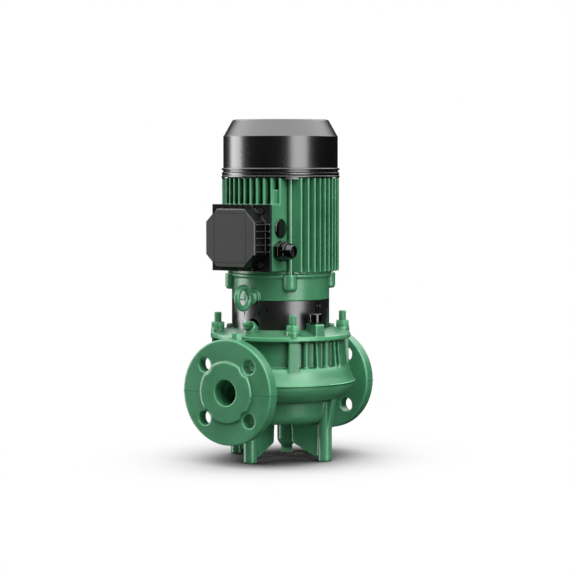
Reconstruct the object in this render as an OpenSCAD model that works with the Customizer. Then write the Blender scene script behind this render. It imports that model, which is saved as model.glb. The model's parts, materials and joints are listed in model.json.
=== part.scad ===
// Inline circulation pump with a flange-mounted, fan-cooled motor on top.
// The origin is on the motor axis at floor level, +Z runs up the motor axis,
// the pipe runs along Y and the suction flange faces -Y. Millimetres.

/* [Pipe ports] */
// Distance between the two flange faces
face_to_face = 260; // [256:1:280]
// Height of the pipe axis above the floor
pipe_h = 99; // [97:1:110]
// Outer diameter of a flange
flange_d = 140; // [138:1:150]
// Thickness of a flange without its raised face
flange_t = 17; // [15:0.5:19]
// Diameter of the raised sealing face
raised_d = 80; // [76:1:84]
// Height of the raised sealing face
raised_t = 3; // [2:0.5:4]
// Diameter of the bolt circle
bolt_circle_d = 100; // [97:1:103]
// Diameter of a flange bolt hole
bolt_hole_d = 19; // [16:0.5:20]
// Drilling tolerance by which the discharge flange's holes are wider
hole_tolerance = 0.4; // [0.35:0.05:0.6]
// Inner diameter of the pipe ports
port_d = 34; // [30:1:36]
// Outer diameter of the necks behind the flanges
neck_d = 54; // [50:1:60]
// Across flats of the measuring-port plugs
port_plug_af = 14; // [12:1:15]

/* [Casing] */
// Height of the casing joint above the pipe axis
joint_up = 69; // [67:1:72]
// Largest radius of the volute
volute_r = 101; // [99:0.5:104]
// Height of the volute's widest line above the pipe axis
volute_up = 7; // [5:0.5:8]
// Height of the shoulder where the ribs stand
shoulder_up = 27; // [25:0.5:30]
// Outer radius of the casing wall between its ribs
wall_r = 82.5; // [82:0.5:84]
// Radius over the feet of the ribs
rib_r = 91; // [89:0.5:92]
// How far the ribs lean in towards their tops
rib_lean = 4; // [2:0.5:5]
// Thickness of a flat rib
rib_w = 3; // [2.5:0.1:4]
// Radius of a round rib
round_rib_r = 4.2; // [3.5:0.1:5]
// Angle from one rib to the next
rib_step = 11.25; // [10:0.25:12]
// Width of a stud column
column_w = 13; // [12.5:0.5:15]
// Radius of the rim at the joint
rim_r = 95; // [94:0.5:97]
// Thickness of the casing rim
rim_t = 3.5; // [3:0.5:5]
// Radius of the bore that takes the casing cover
cover_bore_r = 76.3; // [75:0.1:77]
// Depth of the casing floor below the pipe axis
floor_down = 48; // [46:1:52]
// Radius of the circle on which the four legs stand
leg_circle_r = 72; // [68:1:74]
// Diameter of a leg
leg_d = 18.5; // [17:0.5:22]
// Thickness of the leg webs
web_t = 8; // [6:0.5:10]
// Radius of the drain sump under the casing
sump_r = 13; // [12:0.5:15]

/* [Studs] */
// Radius of the stud circle
stud_circle_r = 86; // [85:0.5:87]
// Thread diameter of the casing studs
stud_d = 10; // [8:1:10]
// Across flats of the stud nuts
stud_nut_af = 17; // [16:1:18]
// Height that the studs reach above the casing joint
stud_up = 31; // [28:0.5:36]

/* [Stool and guard] */
// Height of the stool from the casing joint to the motor
stool_h = 48.7; // [46:0.1:55]
// Height of the raised pads above the casing joint
pad_h = 18.5; // [16:0.1:20]
// Radius of the motor's drive-end shield and of the guard
shield_r = 66; // [65:0.5:67]
// Thickness of the guard sheet
guard_t = 1; // [0.8:0.1:1.2]
// Height of the guard's lower edge above the casing joint
guard_up = 10.1; // [10:0.1:11]
// Head diameter of the black cap screws
cap_screw_d = 18; // [16:1:19]
// Head height of the black cap screws
cap_screw_h = 14; // [8:1:15]

/* [Motor] */
// Height of the drive-end shield
shield_h = 34.8; // [33:0.1:38]
// Length of the finned housing
housing_h = 130.4; // [126:0.1:145]
// Outer radius of the stator
stator_r = 60; // [59:0.5:60]
// Radius of the rotor
rotor_r = 37; // [34:0.5:40]
// Length of the stator stack
stack_h = 75; // [60:1:80]
// Outer radius of the housing tube under the fins
tube_r = 66; // [65:0.5:66.5]
// Radius over the fin tips
fin_tip_r = 79.2; // [78:0.1:80]
// Distance from one fin to the next
fin_pitch = 9.1; // [9:0.1:9.2]
// Thickness of a fin
fin_w = 2.4; // [2:0.1:2.5]
// Fins on each side of the middle fin
fin_count = 5; // [4:1:5]
// Radius of the circle of the tie bolts
tie_circle_r = 70; // [69.5:0.1:70.2]
// Thread diameter of the tie bolts
tie_d = 5; // [4:0.5:5]

/* [Shafts and bearings] */
// Diameter of the motor shaft in its bearings
bearing_bore_d = 20; // [20:1:22]
// Outer diameter of a bearing
bearing_d = 47; // [44:1:47]
// Width of a bearing
bearing_w = 14; // [12:1:14]
// Number of balls in a bearing
ball_count = 8; // [7:1:9]
// Diameter of the motor shaft at the coupling
shaft_end_d = 19; // [16:1:19]
// Diameter of the coupling shaft in the seal and the impeller
pump_shaft_d = 14; // [12:1:14]
// Outer diameter of the coupling
coupling_d = 34; // [32:1:38]

/* [Impeller] */
// Diameter of the impeller
impeller_d = 118; // [110:1:124]
// Width of the impeller's outlet
outlet_w = 8; // [6:0.5:8]
// Outer radius of the impeller's eye
eye_r = 22.8; // [21.5:0.1:24]
// Number of impeller vanes
vane_count = 6; // [5:1:7]

/* [Fan and fan cover] */
// Radius of the fan cover's wall
cowl_r = 77.4; // [77:0.1:79]
// Height of the fan cover
cowl_h = 77.5; // [74:0.5:90]
// Wall thickness of the fan cover
cowl_t = 1.8; // [1.2:0.1:2]
// Radius of the fan cover's flat top
cowl_top_r = 64.4; // [62:0.1:68]
// Height of the fan cover's cone
cowl_cone_h = 22; // [18:0.5:24]
// Radius of the fan
fan_r = 67; // [60:0.5:70]
// Number of fan blades
blade_count = 8; // [6:1:10]

/* [Terminal box] */
// Width of the cast base under the terminal cover
base_w = 88.8; // [88:0.1:89.4]
// Width of the terminal cover's base plate
box_w = 93.6; // [92:0.1:96]
// Height of the terminal cover's base plate
box_h = 88; // [86:0.5:92]
// Distance of the cover's base plate from the motor axis
box_reach = 88; // [86:0.5:92]
// Depth of the terminal cover
lid_depth = 29; // [24:0.5:32]
// Width of the terminal cover's eight-sided front
lid_w = 78.6; // [76:0.2:79]
// Height of the terminal cover's eight-sided front
lid_h = 77; // [74:0.5:78]
// Corner cut of the eight-sided front
lid_cut = 17.3; // [14:0.1:18]
// Wall thickness of the terminal cover
lid_t = 2.5; // [2:0.1:3]
// Across flats of the cable gland
gland_af = 24; // [22:1:25]
// Diameter of the cable hole in the gland
cable_hole_d = 10; // [8:0.5:12]
// Diameter of the blind plug
blind_d = 26; // [23:0.5:27]

/* [Vent and lifting eyes] */
// Across flats of the vent valve
vent_af = 12; // [10:1:13]
// Diameter of the vent screw
vent_screw_d = 5.5; // [5:0.5:6]
// Angle between the vent valve and the motor axis
vent_tilt = 60; // [55:1:62]
// Outer diameter of a lifting eye
eye_ring_d = 36; // [32:1:38]
// Thickness of a lifting eye's ring
eye_ring_t = 8; // [6:0.5:8]

/* [Hidden] */
$fn = 96;
// Clearance of pieces that are fitted to each other
fit = 0.05;
// Clearance of pieces that turn past each other
run = 0.3;
// Overlap of parts of one solid, and overshoot of a cut
lap = 1;
body_green = [0.26, 0.53, 0.38];
plastic_black = [0.12, 0.12, 0.13];
steel_grey = [0.68, 0.69, 0.7];
iron_grey = [0.42, 0.43, 0.45];
bronze = [0.72, 0.55, 0.3];
rubber_black = [0.08, 0.08, 0.08];
copper = [0.72, 0.42, 0.25];

// Levels of the stack, above the floor
joint_z = pipe_h + joint_up;
motor_z = joint_z + stool_h;
housing_z = motor_z + shield_h;
housing_top_z = housing_z + housing_h;
stack_z = housing_z + (housing_h - stack_h) / 2;
cowl_z = housing_top_z - 1.5;
box_z = housing_z + 49.5;
// Bearing levels
drive_bearing_z = motor_z + 15.3;
rear_bearing_z = housing_top_z + 2;
// Pump inside
volute_z = pipe_h + volute_up;
chamber_z = volute_z - 10;
cover_z = volute_z + 11.5;
cover_t = 6;
cover_lip_t = 7.5;
cover_lip_r = cover_bore_r + 3.7;
gasket_t = 1;
hub_r = 26;
seal_chamber_r = 20;
seat_r = 14;
seat_t = 7;
seat_z = cover_z + 19;
seal_ring_t = 6;
seal_ring_r = 12;
impeller_hub_z = cover_z + 2;
impeller_r = impeller_d / 2;
shroud_t = 2.5;
shaft_foot_z = volute_z - 8.5;
pump_shaft_r = pump_shaft_d / 2;
thread_r = pump_shaft_r - 1;
nut_h = 7;
coupling_z = joint_z + 2;
coupling_h = stool_h - 5.7;
coupling_screw_h = (coupling_d - shaft_end_d) / 2 - 1;
socket_z = coupling_z + 16;
// Motor details
bearing_r = bearing_d / 2;
bearing_bore_r = bearing_bore_d / 2;
spigot_h = 4.5;
spigot_r = stator_r - 0.2;
rotor_shaft_r = bearing_bore_r + 2;
fan_seat_r = bearing_bore_r - 2;
fan_z = rear_bearing_z + bearing_w + 5;
fan_h = 24;
clip_z = fan_z + 18;
corner = [45, 135, 225, 315];
side = [0, 90, 180, 270];
// Places of the fins across a side, and of those above the terminal box
side_fins = [for (i = [-fin_count : fin_count]) i * fin_pitch];
front_fins = [for (i = [-4.5 : 1 : 4.5]) i / 9 * (base_w - fin_w)];
// Underside and bowl of the casing below the volute's widest line
underside_w = 25;
underside_h = 23;
bowl_r = volute_r - underside_w - 2;
bowl_round = 14;
// Ribs, and the level up to which they and the stud columns rise over the pipe axis
rib_foot_up = shoulder_up - 1;
rib_top_up = joint_up - rim_t + 0.5;
rib_profile = [[wall_r - 2, rib_foot_up], [rib_r, rib_foot_up], [rib_r - rib_lean, rib_top_up],
  [wall_r - 2, rib_top_up]];
// Ring channel of the volute, a little off centre, and the straight ends of the ports
channel_r = 11.5;
channel_mid_r = 72;
channel_shift = 4;
port_l = 26;
// Suction passage under the volute
suction_bend = [0, -face_to_face / 2 + 28, pipe_h - 2];
suction_low = [0, -72, pipe_h - 28];
suction_eye = [0, 0, pipe_h - 29];
suction_r = 14;
sump_y = 15;
sump_z = 13;
drain_r = 5;
port_boss_y = face_to_face / 2 - raised_t - flange_t - port_plug_af / 2 - 1;
port_boss_r = 9;
port_boss_top = pipe_h + flange_d / 2 - 3;
// Terminal box details
base_wall = 5;
base_half_w = base_w / 2;
base_h = box_h;
base_floor_y = tube_r + 4;
plate_t = 4;
gland_y = 17 - box_reach;
gland_z = box_z - 17.5;
blind_y = 21.5 - box_reach;
blind_z = box_z + 12.3;
lid_screw_x = 32.5;
lid_screw_z = 35.3;
// Guard details
guard_split = -10;
cap_screw_angle = -21.7;
cap_screw_circle_r = 82;
cap_screw_r = 4;
cap_screw_l = 13;
low_pad_h = pad_h - 4.5;
guard_in_r = shield_r - guard_t;
stool_ring_r = guard_in_r - run;
stud_fit = 0.05;
wear_ring_r = eye_r + 4;
wear_ring_t = 6;
wear_ring_z = volute_z - 18.3;
// Middle of the slanted face on which the vent valve sits
vent_at = [0, -75, joint_z + 14.7];
vent_boss_r = 9;
vent_neck_l = 12.5;
nut_seat = 9.3;
stud_boss_r = 9.5;
stud_depth = 24;
// Feet of the tie bolts in their bosses on the drive-end shield
tie_boss_z = motor_z + 13.5;
tie_foot_z = tie_boss_z + 7;
stool_screw_r = 3;
eye_seat_y = shield_r + 3;
eye_z = motor_z + 4.5;

module on_circle(r, angles) {
  for (a = angles) rotate([0, 0, a]) translate([r, 0, 0]) children();
}

module ring(r_out, r_in, h) {
  difference() {
    cylinder(h = h, r = r_out);
    translate([0, 0, -lap]) cylinder(h = h + 2 * lap, r = r_in);
  }
}

module hexagon(af, h) {
  cylinder(h = h, d = af / cos(30), $fn = 6);
}

module rod(from, to, r1, r2) {
  v = to - from;
  translate(from) rotate([0, acos(v[2] / norm(v)), atan2(v[1], v[0])])
    cylinder(h = norm(v), r1 = r1, r2 = r2);
}

module turned(points) {
  rotate_extrude() polygon(points);
}

// Sector of a turned profile between two angles
module turned_sector(points, a1, a2) {
  rotate([0, 0, a1]) rotate_extrude(angle = a2 - a1) polygon(points);
}

// Thin plate that stands on edge in the plane of X and Z
module upright_plate(points, t) {
  rotate([90, 0, 0]) linear_extrude(height = t, center = true) polygon(points);
}

// Flange whose face looks along -Y, with its face at y = -face_to_face / 2
module pipe_flange() {
  chamfer = 1.2;
  notch_r = bolt_hole_d / 2 + 4;
  back = raised_t + flange_t;
  translate([0, -face_to_face / 2, pipe_h]) rotate([-90, 0, 0]) {
    difference() {
      cylinder(h = raised_t + lap, d = raised_d);
      for (a = corner) rotate([0, 0, a]) translate([bolt_circle_d / 2, 0, -lap])
        cylinder(h = raised_t + 3 * lap, r = notch_r);
    }
    turned([[0, raised_t], [flange_d / 2 - chamfer, raised_t], [flange_d / 2, raised_t + chamfer],
      [flange_d / 2, back - chamfer], [flange_d / 2 - chamfer, back], [neck_d / 2 + 4, back],
      [neck_d / 2, back + 5], [0, back + 5]]);
  }
}

module pipe_flange_holes(d) {
  translate([0, -face_to_face / 2, pipe_h]) rotate([-90, 0, 0]) for (a = corner)
    rotate([0, 0, a]) translate([bolt_circle_d / 2, 0, -lap])
      cylinder(h = raised_t + flange_t + 2 * lap, d = d);
}

// Body of the casing: rim, wall, sloping shoulder, volute and bowl
module casing_outside() {
  upper = [[0, -floor_down], [0, joint_up], [rim_r, joint_up], [rim_r, joint_up - rim_t],
    [wall_r, joint_up - rim_t - 2], [wall_r, shoulder_up + 3], [rib_r, shoulder_up + 2],
    [rib_r + 2.4, shoulder_up - 2.5], [volute_r - 4, volute_up + 8]];
  underside = [for (a = [0 : 15 : 90])
    [volute_r - underside_w + underside_w * cos(a), volute_up - underside_h * sin(a)]];
  bowl = [for (a = [0 : 15 : 90])
    [bowl_r - bowl_round + bowl_round * cos(a), bowl_round - floor_down - bowl_round * sin(a)]];
  translate([0, 0, pipe_h]) {
    turned(concat(upper, underside, bowl));
    for (s = [0, 180]) rotate([0, 0, s]) casing_ribs();
    for (a = corner) rotate([0, 0, a]) stud_column();
  }
}

// Flat and round ribs in turn beside a stud column, and a solid block up to the next column
module casing_ribs() {
  half_angle = 180 / PI * rib_w / 2 / rib_r;
  for (a = [-2 * rib_step, 0]) turned_sector(rib_profile, a - half_angle, a + half_angle);
  turned_sector(rib_profile, rib_step / 2, 3 * rib_step);
  intersection() {
    on_circle(rib_r - rib_lean / 2 - round_rib_r, [-3 * rib_step + 1, -rib_step + 0.5])
      translate([0, 0, rib_foot_up]) cylinder(h = rib_top_up - rib_foot_up, r = round_rib_r);
    cylinder(h = rib_top_up, r = rib_r);
  }
}

// Column that carries a stud, wider at its foot
module stud_column() {
  foot = shoulder_up - 6;
  half_w = column_w / 2;
  translate([wall_r - 4, 0, 0]) rotate([90, 0, 90]) linear_extrude(height = rim_r - wall_r + 2.5)
    polygon([[-half_w - 1.5, foot], [half_w + 1.5, foot], [half_w, rib_top_up], [-half_w, rib_top_up]]);
}

// Post with a web to the middle and a web up to the volute
module leg() {
  web_z = pipe_h - floor_down;
  top = pipe_h - 13;
  translate([leg_circle_r, 0, 0]) cylinder(h = top, d = leg_d);
  upright_plate([[sump_r + 6, web_z + lap], [leg_circle_r, web_z + 20], [leg_circle_r, 6],
    [leg_circle_r - leg_d / 2 - 6, 6], [sump_r + 8, 22]], web_t);
  upright_plate([[leg_circle_r, web_z - 12], [leg_circle_r + leg_d / 2 - 1, web_z - 8],
    [volute_r - 13, top + lap], [leg_circle_r, top + lap]], web_t + 2);
}

module neck_outside() {
  flange_back = face_to_face / 2 - raised_t - flange_t;
  rod([0, -flange_back - lap, pipe_h], suction_bend, neck_d / 2, neck_d / 2);
  translate(suction_bend) sphere(r = neck_d / 2 + 0.5);
  rod(suction_bend, suction_low, neck_d / 2 - 3, suction_r + 6);
  translate(suction_low) sphere(r = suction_r + 6.6);
  translate([0, 0, pipe_h]) rotate([-90, 0, 0]) translate([0, 0, 60])
    cylinder(h = flange_back - 60 + lap, r1 = neck_d / 2 + 12, r2 = neck_d / 2);
  for (y = [-port_boss_y, port_boss_y])
    translate([0, y, pipe_h + 10]) cylinder(h = port_boss_top - pipe_h - 10, r = port_boss_r);
}

module sump_outside() {
  translate([0, sump_y, sump_z + sump_r]) {
    cylinder(h = pipe_h - floor_down - sump_z - sump_r + lap, r = sump_r);
    sphere(r = sump_r);
  }
  translate([0, sump_y, sump_z - 1]) cylinder(h = sump_r, r = sump_r - 5.5);
}

module waterway() {
  outlet_y = face_to_face / 2 - port_l + 4;
  translate([0, channel_shift, volute_z])
    rotate_extrude() translate([channel_mid_r, 0]) circle(r = channel_r);
  rod([0, channel_mid_r + channel_shift, volute_z], [0, outlet_y, pipe_h], port_d / 2 - 3, port_d / 2 - 3);
  for (s = [0, 180]) rotate([0, 0, s]) translate([0, face_to_face / 2 + lap, pipe_h]) rotate([90, 0, 0])
    cylinder(h = port_l, d = port_d);
  translate(suction_bend) sphere(r = port_d / 2 - 1);
  rod(suction_bend, suction_low, suction_r, suction_r);
  translate(suction_low) sphere(r = suction_r + 0.5);
  rod(suction_low, suction_eye, suction_r - 0.5, suction_r - 0.5);
  translate(suction_eye) sphere(r = suction_r + 1);
  translate([0, 0, suction_eye[2]]) cylinder(h = chamber_z - suction_eye[2] + lap, r = eye_r - 3);
  translate([0, 0, wear_ring_z]) cylinder(h = chamber_z - wear_ring_z + lap, r = wear_ring_r + fit);
}

// Impeller chamber and the stepped bore that takes the cover
module cover_seat() {
  translate([0, 0, chamber_z]) cylinder(h = joint_z - chamber_z + 2 * lap, r = cover_bore_r);
  translate([0, 0, joint_z - cover_lip_t - gasket_t])
    cylinder(h = cover_lip_t + gasket_t + lap, r = cover_lip_r + run);
}

module pump_casing() {
  color(body_green) difference() {
    union() {
      casing_outside();
      neck_outside();
      sump_outside();
      for (a = side) rotate([0, 0, a]) leg();
      pipe_flange();
      rotate([0, 0, 180]) pipe_flange();
    }
    waterway();
    cover_seat();
    pipe_flange_holes(bolt_hole_d);
    rotate([0, 0, 180]) pipe_flange_holes(bolt_hole_d + hole_tolerance);
    on_circle(stud_circle_r, corner)
      translate([0, 0, joint_z - stud_depth - 2])
        cylinder(h = stud_depth + 2 + lap, r = stud_d / 2 + stud_fit);
    for (y = [-port_boss_y, port_boss_y])
      translate([0, y, port_boss_top - 12]) cylinder(h = 12 + lap, r = drain_r);
    translate([0, sump_y, sump_z - 2]) cylinder(h = suction_eye[2] - sump_z, r = drain_r);
    translate([0, 0, -lap]) mirror([0, 0, 1]) cylinder(h = 10, r = volute_r);
  }
}

module wear_ring() {
  color(bronze) translate([0, 0, wear_ring_z]) ring(wear_ring_r, eye_r + run, wear_ring_t);
}

module casing_cover() {
  lip = joint_z - cover_lip_t;
  plate_top = cover_z + cover_t;
  seat_top = seat_z + seat_t;
  hub_top = seat_top + 6;
  color(iron_grey) turned([[seal_chamber_r, cover_z], [cover_bore_r - run, cover_z],
    [cover_bore_r - run, lip], [cover_lip_r, lip], [cover_lip_r, joint_z], [cover_bore_r - 6, joint_z],
    [cover_bore_r - 6, plate_top], [hub_r, plate_top], [hub_r, hub_top], [pump_shaft_r + 2, hub_top],
    [pump_shaft_r + 2, seat_top], [seat_r + fit, seat_top], [seat_r + fit, seat_z],
    [seal_chamber_r, seat_z]]);
}

module casing_gasket() {
  color(rubber_black) translate([0, 0, joint_z - cover_lip_t - gasket_t])
    ring(cover_lip_r, cover_bore_r, gasket_t);
}

module seal_seat() {
  color([0.85, 0.83, 0.78]) translate([0, 0, seat_z]) ring(seat_r, pump_shaft_r + 1, seat_t);
}

module seal_ring() {
  color([0.2, 0.2, 0.22]) translate([0, 0, seat_z - seal_ring_t - fit])
    ring(seal_ring_r, pump_shaft_r + fit, seal_ring_t);
}

// Wave-type seal spring, a stack of flat rings round the shaft
module seal_spring() {
  spring_z = impeller_hub_z + fit;
  spring_h = seat_z - seal_ring_t - 2 * fit - spring_z;
  turns = 4;
  color(steel_grey) translate([0, 0, spring_z]) difference() {
    cylinder(h = spring_h, r = seal_ring_r - 1);
    translate([0, 0, -lap]) cylinder(h = spring_h + 2 * lap, r = pump_shaft_r + 1);
    for (i = [0 : turns - 1]) translate([0, 0, spring_h * (i + 0.5) / turns - 0.5])
      ring(seal_ring_r, seal_ring_r - 2, 1);
  }
}

module vane_outline() {
  bend_r = impeller_r * 0.68;
  t = 2.6;
  intersection() {
    difference() {
      circle(r = impeller_r - 0.5);
      circle(r = eye_r - 5);
    }
    translate([bend_r - 2, 0]) difference() {
      circle(r = bend_r + t / 2);
      circle(r = bend_r - t / 2);
    }
    translate([-impeller_r, 0]) square([3 * impeller_r, 2 * impeller_r]);
  }
}

module impeller() {
  hub = pump_shaft_r + 6;
  low = volute_z - outlet_w / 2 - 1;
  high = low + outlet_w;
  foot = wear_ring_z + 1;
  color(bronze) difference() {
    union() {
      turned([[pump_shaft_r + fit, impeller_hub_z], [hub, impeller_hub_z], [hub, high + shroud_t + 1.5],
        [hub + 8, high + shroud_t], [impeller_r, high + shroud_t], [impeller_r, high], [hub + 16, high],
        [hub, high - 3], [hub - 2, shaft_foot_z], [pump_shaft_r + fit, shaft_foot_z]]);
      turned([[impeller_r, low], [eye_r + 8, low - 0.5], [eye_r - 1, low - 4], [eye_r - 2.8, foot],
        [eye_r, foot], [eye_r, low - 6], [eye_r + 9, low - shroud_t - 0.5], [impeller_r, low - shroud_t]]);
      for (i = [0 : vane_count - 1]) rotate([0, 0, i * 360 / vane_count])
        translate([0, 0, low - 1.5]) linear_extrude(height = outlet_w + 2.5) vane_outline();
    }
    key_slot(fit);
  }
}

// Feather key between the shaft and the impeller
module key_slot(gap) {
  key_w = 4;
  translate([pump_shaft_r - 2 - gap, -key_w / 2 - gap, shaft_foot_z + 2])
    cube([4 + 2 * gap, key_w + 2 * gap, 16 + gap]);
}

module impeller_key() {
  color(steel_grey) key_slot(0);
}

module impeller_nut() {
  color(steel_grey) translate([0, 0, shaft_foot_z - nut_h - fit]) difference() {
    hexagon(2 * pump_shaft_r + 5, nut_h);
    translate([0, 0, -lap]) cylinder(h = nut_h + 2 * lap, r = thread_r + fit);
  }
}

module coupling_shaft() {
  coupling_top = coupling_z + coupling_h;
  color(steel_grey) difference() {
    turned([[0, shaft_foot_z - nut_h - 2], [thread_r, shaft_foot_z - nut_h - 2], [thread_r, shaft_foot_z],
      [pump_shaft_r, shaft_foot_z], [pump_shaft_r, coupling_z], [coupling_d / 2 - 1, coupling_z],
      [coupling_d / 2, coupling_z + 1], [coupling_d / 2, coupling_top], [0, coupling_top]]);
    translate([0, 0, socket_z]) cylinder(h = coupling_h, r = shaft_end_d / 2 + fit);
    for (a = [0, 180]) rotate([0, 0, a]) coupling_screw(coupling_screw_h + 1 + lap, fit);
    key_slot(fit);
  }
}

// Set screw that clamps the coupling on the motor shaft
module coupling_screw(h, gap) {
  translate([shaft_end_d / 2 + fit - gap, 0, socket_z + 20]) rotate([0, 90, 0]) cylinder(h = h, r = 3 + gap);
}

module coupling_screws() {
  color(steel_grey) for (a = [0, 180]) rotate([0, 0, a]) coupling_screw(coupling_screw_h, 0);
}

// Hexagon plug with a collar and a short thread that points down
module hex_plug(af, h, thread_r, thread_l) {
  cylinder(h = 1.5, d = af);
  hexagon(af - 1, h);
  mirror([0, 0, 1]) cylinder(h = thread_l, r = thread_r);
}

module suction_port_plug() {
  color(body_green) translate([0, -port_boss_y, port_boss_top]) hex_plug(port_plug_af, 9, drain_r - fit, 10);
}

module discharge_port_plug() {
  color(body_green) translate([0, port_boss_y, port_boss_top]) hex_plug(port_plug_af, 9, drain_r - fit, 10);
}

module drain_plug() {
  color(body_green) translate([0, sump_y, sump_z - 1]) mirror([0, 0, 1])
    hex_plug(port_plug_af + 2, 6, drain_r - fit, 10);
}

module casing_studs() {
  color(body_green) on_circle(stud_circle_r, corner)
    translate([0, 0, joint_z - stud_depth]) cylinder(h = stud_depth + stud_up, d = stud_d);
}

module casing_nuts() {
  color(body_green) on_circle(stud_circle_r, corner) translate([0, 0, joint_z + nut_seat]) difference() {
    union() {
      hexagon(stud_nut_af, 8.5);
      cylinder(h = 1, d = stud_nut_af);
    }
    translate([0, 0, -lap]) cylinder(h = 11, r = stud_d / 2 + fit);
  }
}

// Raised pads: a high one carries a cap screw, a low one lies beside the guard
module stool_pads() {
  high_pad = [[shield_r + 1, 1], [shield_r + 1, pad_h], [rim_r - 2.2, pad_h], [rim_r - 1, pad_h - 1.2],
    [rim_r - 1, 1]];
  low_pad = [[shield_r + 0.8, 1], [shield_r + 0.8, low_pad_h], [shield_r + 7, low_pad_h], [shield_r + 8, 1]];
  half_angle = 4.3;
  for (s = [0, 180]) rotate([0, 0, s]) {
    turned_sector(high_pad, cap_screw_angle - half_angle, cap_screw_angle + half_angle);
    turned_sector(low_pad, 24, 44);
  }
}

// Slanted boss that carries the vent valve
module vent_boss() {
  translate(vent_at) rotate([vent_tilt, 0, 0]) turned([[0, -12], [vent_boss_r, -12], [vent_boss_r, -1],
    [vent_boss_r - 1, 0], [0, 0]]);
}

// Foot ring and lantern of the stool, with four windows
module stool_shell() {
  ring_in = 40;
  window_w = 62;
  window_up = 13;
  difference() {
    translate([0, 0, joint_z])
      turned([[46, 0], [rim_r, 0], [rim_r, 1.6], [rim_r - 1, 2.6], [shield_r + 4, 9.4],
        [stool_ring_r, 9.8], [stool_ring_r, stool_h], [ring_in, stool_h], [ring_in, stool_h - 9.5],
        [56, stool_h - 9.5], [56, 9], [46, 8]]);
    for (a = [0, 90]) rotate([0, 0, a]) translate([-rim_r, -window_w / 2, joint_z + window_up])
      cube([2 * rim_r, window_w, stool_h - 14 - window_up]);
  }
}

module stool() {
  color(body_green) difference() {
    union() {
      stool_shell();
      translate([0, 0, joint_z]) {
        stool_pads();
        on_circle(stud_circle_r, corner) cylinder(h = nut_seat, r = stud_boss_r);
      }
      vent_boss();
    }
    on_circle(stud_circle_r, corner)
      translate([0, 0, joint_z - lap]) cylinder(h = 30, r = stud_d / 2 + stud_fit);
    on_circle(stud_circle_r, corner)
      translate([0, 0, joint_z + nut_seat]) cylinder(h = 30, d = stud_nut_af + 5);
    cap_screw_places() translate([0, 0, -cap_screw_l - 1])
      cylinder(h = cap_screw_l + 1 + lap, r = cap_screw_r);
    stool_screw_places() translate([0, 0, -lap]) cylinder(h = 20, r = stool_screw_r + 0.2);
    translate(vent_at) rotate([vent_tilt, 0, 0]) translate([0, 0, -8]) cylinder(h = 8 + lap, r = 4);
  }
}

module cap_screw_places() {
  on_circle(cap_screw_circle_r, [cap_screw_angle, cap_screw_angle + 180])
    translate([0, 0, joint_z + pad_h]) children();
}

// Cap screw with a hexagon socket, head upwards
module stool_cap_screws() {
  color(plastic_black) cap_screw_places() difference() {
    union() {
      turned([[0, 0], [cap_screw_d / 2 - 0.5, 0], [cap_screw_d / 2 - 0.5, 2], [cap_screw_d / 2, 2.5],
        [cap_screw_d / 2, cap_screw_h - 1], [cap_screw_d / 2 - 1, cap_screw_h], [0, cap_screw_h]]);
      translate([0, 0, -cap_screw_l]) cylinder(h = cap_screw_l + lap, r = cap_screw_r - fit);
    }
    translate([0, 0, cap_screw_h - 6]) hexagon(10, 7);
  }
}

module stool_screw_places() {
  on_circle(50, side) translate([0, 0, motor_z - 9.5]) children();
}

module stool_motor_screws() {
  color(steel_grey) stool_screw_places() {
    translate([0, 0, -6]) difference() {
      cylinder(h = 6, r = 5);
      translate([0, 0, -lap]) hexagon(5, 4);
    }
    cylinder(h = 17, r = stool_screw_r);
  }
}

// Half of the guard: a bent sheet with folded upright edges
module guard_half() {
  z0 = joint_z + guard_up;
  h = stool_h - guard_up - 0.3;
  turned_sector([[guard_in_r, z0], [shield_r, z0], [shield_r, z0 + h], [guard_in_r, z0 + h]], 0.6, 179.4);
  for (a = [0.6, 179.4]) rotate([0, 0, a]) translate([guard_in_r, a < 90 ? 0 : -guard_t, z0])
    cube([6, guard_t, h]);
}

module guard_screw_places() {
  for (a = [0, 180]) rotate([0, 0, guard_split + a])
    translate([shield_r + 2.6, 0, motor_z - 8]) rotate([90, 0, 0]) children();
}

// Front half, with an arch over the vent valve and short upright slots
module guard_front() {
  arch_w = 20;
  arch_up = vent_at[2] - joint_z;
  // Angle of each slot and its foot below the motor's face
  guard_slots = [[-102.7, 19.7], [-81.6, 18.7], [-72, 14.7]];
  color(plastic_black) difference() {
    rotate([0, 0, guard_split + 180]) guard_half();
    translate([vent_at[0], 0, joint_z + arch_up]) rotate([90, 0, 0]) cylinder(h = rim_r, d = arch_w);
    translate([vent_at[0] - arch_w / 2, -rim_r, joint_z]) cube([arch_w, rim_r, arch_up]);
    for (slot = guard_slots) rotate([0, 0, slot[0]])
      translate([guard_in_r - lap, -0.8, motor_z - slot[1]]) cube([4, 1.6, 4.5]);
    guard_screw_places() cylinder(h = 10, r = 1.6, center = true);
  }
}

module guard_rear() {
  color(plastic_black) difference() {
    rotate([0, 0, guard_split]) guard_half();
    guard_screw_places() cylinder(h = 10, r = 1.6, center = true);
  }
}

module guard_screws() {
  reach = guard_t + 0.75;
  color(steel_grey) guard_screw_places() {
    cylinder(h = 2 * reach + 1, r = 1.5, center = true);
    translate([0, 0, reach]) cylinder(h = 1.6, r = 2.4);
    mirror([0, 0, 1]) translate([0, 0, reach]) hexagon(4.6, 1.8);
  }
}

module vent_body() {
  color(body_green) translate(vent_at) rotate([vent_tilt, 0, 0]) difference() {
    union() {
      hexagon(vent_af, 6);
      cylinder(h = vent_neck_l, r = 4);
      mirror([0, 0, 1]) cylinder(h = 7, r = 4 - fit);
    }
    translate([0, 0, -1]) cylinder(h = vent_neck_l + 2, r = vent_screw_d / 2 + fit);
    translate([0, 0, -9]) cylinder(h = 10, r = 1.2);
  }
}

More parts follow.
